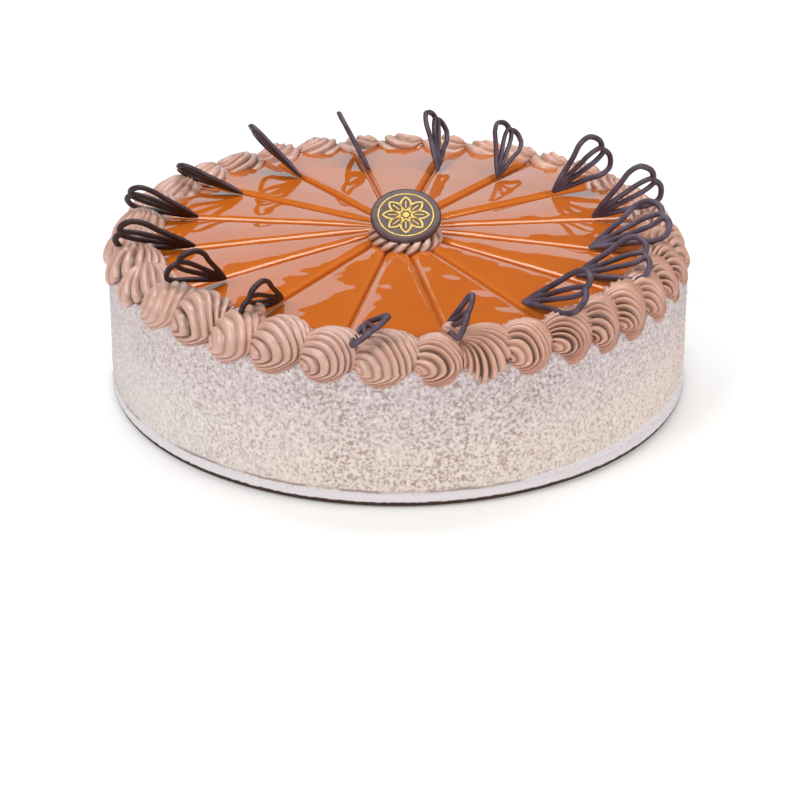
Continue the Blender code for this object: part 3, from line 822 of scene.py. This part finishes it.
def fan_shape():
    """One fan in its own plane: piped strands melted into each other, and a solid web near the tip."""
    work = bmesh.new()
    for sign in (1, -1):
        for line, radius in ((SIDE_LINE, STRAND), (MIDDLE_LINE, STRAND * 0.95)):
            strand(work, smooth_line(line, 6) * (1, sign), radius)
    outline = list(WEB) + [(x, -y) for x, y in WEB[-2:0:-1]]
    caps = [[work.verts.new((x, y, z)) for x, y in outline] for z in WEB_FACES[::-1]]
    work.faces.new(caps[0])
    work.faces.new(caps[1][::-1])
    for index in range(len(outline)):
        after = (index + 1) % len(outline)
        work.faces.new((caps[0][index], caps[1][index], caps[1][after], caps[0][after]))
    bmesh.ops.recalc_face_normals(work, faces=work.faces)
    mesh = bpy.data.meshes.new("fan_shape")
    work.to_mesh(mesh)
    work.free()
    made = bpy.data.objects.new("fan_shape", mesh)
    bpy.context.scene.collection.objects.link(made)
    melt = made.modifiers.new("Melt", "REMESH")
    melt.mode = "VOXEL"
    melt.voxel_size = FAN_VOXEL
    ease = made.modifiers.new("Ease", "SMOOTH")
    ease.factor = 0.5
    ease.iterations = 2
    graph = bpy.context.evaluated_depsgraph_get()
    done = made.evaluated_get(graph).to_mesh()
    points = np.empty(len(done.vertices) * 3)
    done.vertices.foreach_get("co", points)
    faces = [tuple(face.vertices) for face in done.polygons]
    made.evaluated_get(graph).to_mesh_clear()
    bpy.data.objects.remove(made)
    return points.reshape(-1, 3), faces


def chocolate_fan(number, shape, finish):
    """One fan on its place, tip inward, standing on the caramel."""
    turn, radius, rise, lean, twist, long_by, wide_by = FAN_PLACES[number - 1]
    points, faces = shape
    turn, rise, lean, twist = (math.radians(angle) for angle in (turn, rise, lean, twist))
    outward = np.array([math.cos(turn + twist), math.sin(turn + twist), 0])
    sideways = np.array([-math.sin(turn + twist), math.cos(turn + twist), 0])
    stand = np.array([0, 0, 1]) * math.cos(lean) + sideways * math.sin(lean)
    along = outward * math.cos(rise) + stand * math.sin(rise)
    across = stand * math.cos(rise) - outward * math.sin(rise)
    normal = np.cross(along, across)
    tip = np.array([radius * math.cos(turn), radius * math.sin(turn), cone(radius) + FAN_RAISE])
    bend = FAN_BEND * soft_noise(points * (1, 1, 0), FAN_BEND_SIZE, number * 1.3)
    placed = np.outer(points[:, 0] * long_by, along) + np.outer(points[:, 1] * wide_by * long_by, across)
    placed += np.outer(points[:, 2] + bend, normal) + tip
    name = f"fan_{number:02d}"
    made = piece(name, placed, faces, finish, (f"chocolate_fan_{number:02d}",))
    return mark(made, "front", (points[:, 2] - FRONT_FROM) / FRONT_OVER)


# Finishes.
def nut_finish():
    """Ground nuts with brown and cream specks: warm and pale low down from painted bounce light, greyer and
    darker above from painted shade under the cream border. The foot has a plain band under a ragged dark
    line, which fades to the right, and a thin very dark line at its base."""
    made = Finish("ground_nuts", roughness=0.92)
    height = made.axis("Z")
    right = made.between(made.axis("X"), -110.0, -15.0)
    # The low colour is warm and pale with painted bounce light; it is warmer to the right.
    low = made.mix(right, (0.77, 0.71, 0.685), (0.82, 0.71, 0.645))
    # Painted shade: higher up, under the cream border, the coat turns greyer and darker.
    pale = made.mix(made.between(height, 16.0, 50.0), low, (0.68, 0.60, 0.615))
    patch = (0.42 + 0.58 * right) * (0.65 + 0.35 * made.between(made.noise(30.0, 2.0), 0.36, 0.62))
    patch = patch * (1 - 0.4 * made.between(made.axis("X"), 20.0, 90.0))
    speck = made.between(made.noise(1.4, 4.0), 0.40, 0.68) * patch * made.between(height, 6.5, 8.5)
    speck = speck * (1.15 + 0.45 * made.between(height, 26.0, 46.0))
    colour = made.mix(made.between(made.noise(1.9, 2.0), 0.35, 0.65), (0.42, 0.30, 0.26), (0.46, 0.37, 0.38))
    pale = made.mix(speck, pale, colour)
    cream = made.between(made.noise(1.7, 2.0), 0.52, 0.68)
    pale = made.mix(cream * 0.55, pale, (0.92, 0.83, 0.73))
    band = height + 1.6 * made.noise(9.0, 3.0)
    wider = made.between(made.axis("X"), 20.0, 110.0)
    pale = made.mix(1 - made.between(band - 3.5 * wider, 6.8, 7.8), pale, (0.79, 0.74, 0.765))
    line = (1 - made.between(abs(band - 7.9), 0.2, 1.0)) * (1 - made.between(wider, 0.1, 0.5))
    pale = made.mix(line * made.between(made.noise(14.0, 4.0), 0.34, 0.54) * 0.8, pale, (0.30, 0.21, 0.19))
    foot = 1 - made.between(height + made.noise(3.0, 2.0), 3.1, 3.7)
    made.put("Base Color", made.mix(foot, pale, (0.05, 0.02, 0.012)))
    made.bump(made.noise(1.3, 2.0) + 0.7 * made.noise(2.4, 2.0), 0.5)
    return made


def caramel_finish():
    """Caramel under a clear glaze, darker and redder in and beside the cuts, partly its own deeper colour
    and partly painted shade, with a painted highlight band on the rolled edges.
    """
    made = Finish("caramel", roughness=0.5, coat=1.0, coat_roughness=0.02, specular=0.0)
    x, y = made.axis("X"), made.axis("Y")
    turn = x.maths("ARCTAN2", y, x) * (180 / math.pi)
    part = 360.0 / SECTORS
    off = abs((turn - FIRST_CUT + 720.0).maths("MODULO", turn - FIRST_CUT + 720.0, part) - part / 2)
    radius = (x * x + y * y).power(0.5)
    from_cut = (part / 2 - off) * (math.pi / 180) * radius
    # Painted shade in the cuts, over the thick caramel's own deeper, redder colour there.
    edge = 1 - made.between(from_cut, 0.4, 1.1)
    # A painted highlight: a lighter band on the rolled edges, under the highlight line along each cut.
    painted_highlight_band = made.between(from_cut, 0.6, 1.2) * (1 - made.between(from_cut, 1.9, 2.8))
    patch = made.between(made.noise(24.0, 3.0), 0.35, 0.7)
    colour = made.mix(patch * 0.5, (0.585, 0.138, 0.015), (0.54, 0.118, 0.011))
    # Lay the painted highlight band over the caramel.
    colour = made.mix(painted_highlight_band * 0.6, colour, (0.60, 0.175, 0.024))
    # The cuts get their painted shade here.
    made.put("Base Color", made.mix(edge * 0.8, colour, (0.45, 0.085, 0.010)))
    made.bump(made.noise(4.0, 2.0) + 0.2 * made.noise(1.4, 1.0), 0.04)
    return made


def cream_finish():
    """Cream, slightly warmer on the right, with painted shade in its grooves."""
    made = Finish("buttercream", roughness=0.4, coat=0.5, coat_roughness=0.28)
    tone = made.between(made.noise(9.0, 3.0), 0.3, 0.75)
    left = made.mix(tone, (0.67, 0.405, 0.322), (0.61, 0.348, 0.266))
    right = made.mix(tone, (0.715, 0.405, 0.300), (0.650, 0.347, 0.248))
    colour = made.mix(made.between(made.axis("X"), -30.0, 50.0), left, right)
    # Painted shade: the cream darkens towards near-black where the groove mark is high.
    groove = made.marked("groove")
    made.put("Base Color", made.mix(made.between(groove, 0.06, 0.85), colour, (0.105, 0.040, 0.023)))
    made.bump(made.noise(1.3, 3.0) + 1.2 * made.noise(4.5, 2.0), 0.2)
    return made


def chocolate_finish():
    """Dark chocolate with a greyish violet bloom on the fans' fronts, partly real bloom and partly painted
    lilac sheen, weaker at the far left.
    """
    made = Finish("dark_chocolate", roughness=0.45, specular=0.3)
    far_left = made.between(-1 * made.axis("X") - 0.35 * made.axis("Y"), 50.0, 90.0)
    front = made.marked("front").power(1.6) * (1 - 0.6 * far_left)
    patch = made.between(made.noise(7.0, 3.0), 0.3, 0.75)
    # The bloom's lighter patches stand in for painted lilac sheen and highlights, on top of the real greyish
    # bloom.
    bloom = made.mix(patch, (0.072, 0.045, 0.062), (0.138, 0.100, 0.146))
    made.put("Base Color", made.mix(front, (0.034, 0.014, 0.012), bloom))
    made.bump(made.noise(1.6, 2.0), 0.05)
    return made


def disc_finish():
    """Chocolate with a faint bloom."""
    made = Finish("disc_chocolate", roughness=0.4, coat=0.12, coat_roughness=0.2, specular=0.25)
    bloom = made.between(made.noise(9.0, 4.0), 0.3, 0.75)
    made.put("Base Color", made.mix(bloom, (0.075, 0.036, 0.038), (0.11, 0.062, 0.068)))
    made.bump(made.noise(3.0, 2.0), 0.03)
    return made


def gold_finish():
    """Matt gold print, slightly worn."""
    made = Finish("gold_print", roughness=0.5, metallic=0.4)
    wear = made.between(made.noise(1.6, 3.0), 0.4, 0.65)
    made.put("Base Color", made.mix(wear, (0.66, 0.43, 0.08), (0.80, 0.58, 0.16)))
    made.bump(made.noise(0.5, 2.0), 0.03)
    return made


def floor_finish():
    """A pale floor that glows a little, so that it comes out nearly white."""
    made = Finish("pale_floor", roughness=0.75)
    made.put("Base Color", made.mix(made.noise(400.0, 2.0), (0.80, 0.80, 0.80), (0.83, 0.83, 0.83)))
    made.put("Emission Color", (1.0, 0.985, 0.96))
    made.put("Emission Strength", 0.24)
    return made


def heading(direction):
    """Rotation of a light or a camera that looks along a direction."""
    return Vector(direction).to_track_quat("-Z", "Y").to_euler()


def soft_light(name, place, target, width, height, radiance, colour=(1, 1, 1), roll=0.0):
    """A soft panel of this radiance, facing its target and turned about that line by roll, in degrees."""
    light = bpy.data.lights.new(name, "AREA")
    light.shape = "RECTANGLE"
    light.size = width
    light.size_y = height
    light.energy = radiance * math.pi * width * height
    light.color = colour
    made = bpy.data.objects.new(name, light)
    made.location = place
    facing = heading(Vector(target) - Vector(place)).to_matrix()
    made.rotation_euler = (facing @ Matrix.Rotation(math.radians(roll), 3, "Z")).to_euler()
    bpy.context.scene.collection.objects.link(made)
    return made


def studio():
    """Floor, lights and camera."""
    world = bpy.data.worlds.new("studio")
    bpy.context.scene.world = world
    world.use_nodes = True
    background = world.node_tree.nodes["Background"]
    background.inputs[0].default_value = (0.95, 0.96, 1.0, 1)
    background.inputs[1].default_value = 0.08
    soft_light("key_panel", (-0.9, -0.75, 1.25), (0, 0, 0.05), 0.7, 0.7, 8.9)
    soft_light("front_panel", (0.2, -2.0, 0.9), (0, 0, 0.04), 1.6, 1.0, 1.9)
    soft_light("side_panel", (1.4, -0.5, 0.8), (0, 0, 0.04), 0.8, 0.8, 4.6, (1.0, 0.96, 0.93))
    soft_light("overhead_panel", (0, 0.45, 1.4), (0, 0, 0.05), 1.5, 0.38, 7.8)
    soft_light("back_panel", (-0.24, 1.7, 0.65), (0, 0, 0.064), 1.15, 0.6, 1.45, (0.36, 0.84, 1.0), 13.0)
    mesh = bpy.data.meshes.new("floor")
    mesh.from_pydata([(-4, -4, 0), (4, -4, 0), (4, 4, 0), (-4, 4, 0)], [], [(0, 1, 2, 3)])
    mesh.materials.append(floor_finish().material)
    floor = bpy.data.objects.new("floor", mesh)
    bpy.context.scene.collection.objects.link(floor)
    camera = bpy.data.objects.new("camera", bpy.data.cameras.new("camera"))
    camera.data.lens = CAMERA_LENS
    camera.data.sensor_width = 36
    camera.data.clip_end = 20
    camera.location = CAMERA_AT
    yaw, pitch = math.radians(CAMERA_YAW), math.radians(CAMERA_PITCH)
    ahead = (math.sin(yaw) * math.cos(pitch), math.cos(yaw) * math.cos(pitch), math.sin(pitch))
    camera.rotation_euler = heading(ahead)
    bpy.context.scene.collection.objects.link(camera)
    bpy.context.scene.camera = camera
    bpy.context.scene.view_settings.view_transform = "Standard"


studio()
nuts = nut_finish()
nut_coat(nuts)
nut_grains(nuts)
caramel = caramel_finish()
for number in range(1, SECTORS + 1):
    caramel_glaze(number, caramel)
cream = cream_finish()
cream_border(cream)
centre_rosette(cream)
shape = fan_shape()
chocolate = chocolate_finish()
for number in range(1, SECTORS + 1):
    chocolate_fan(number, shape, chocolate)
chocolate_disc(disc_finish())
gold_print(gold_finish())
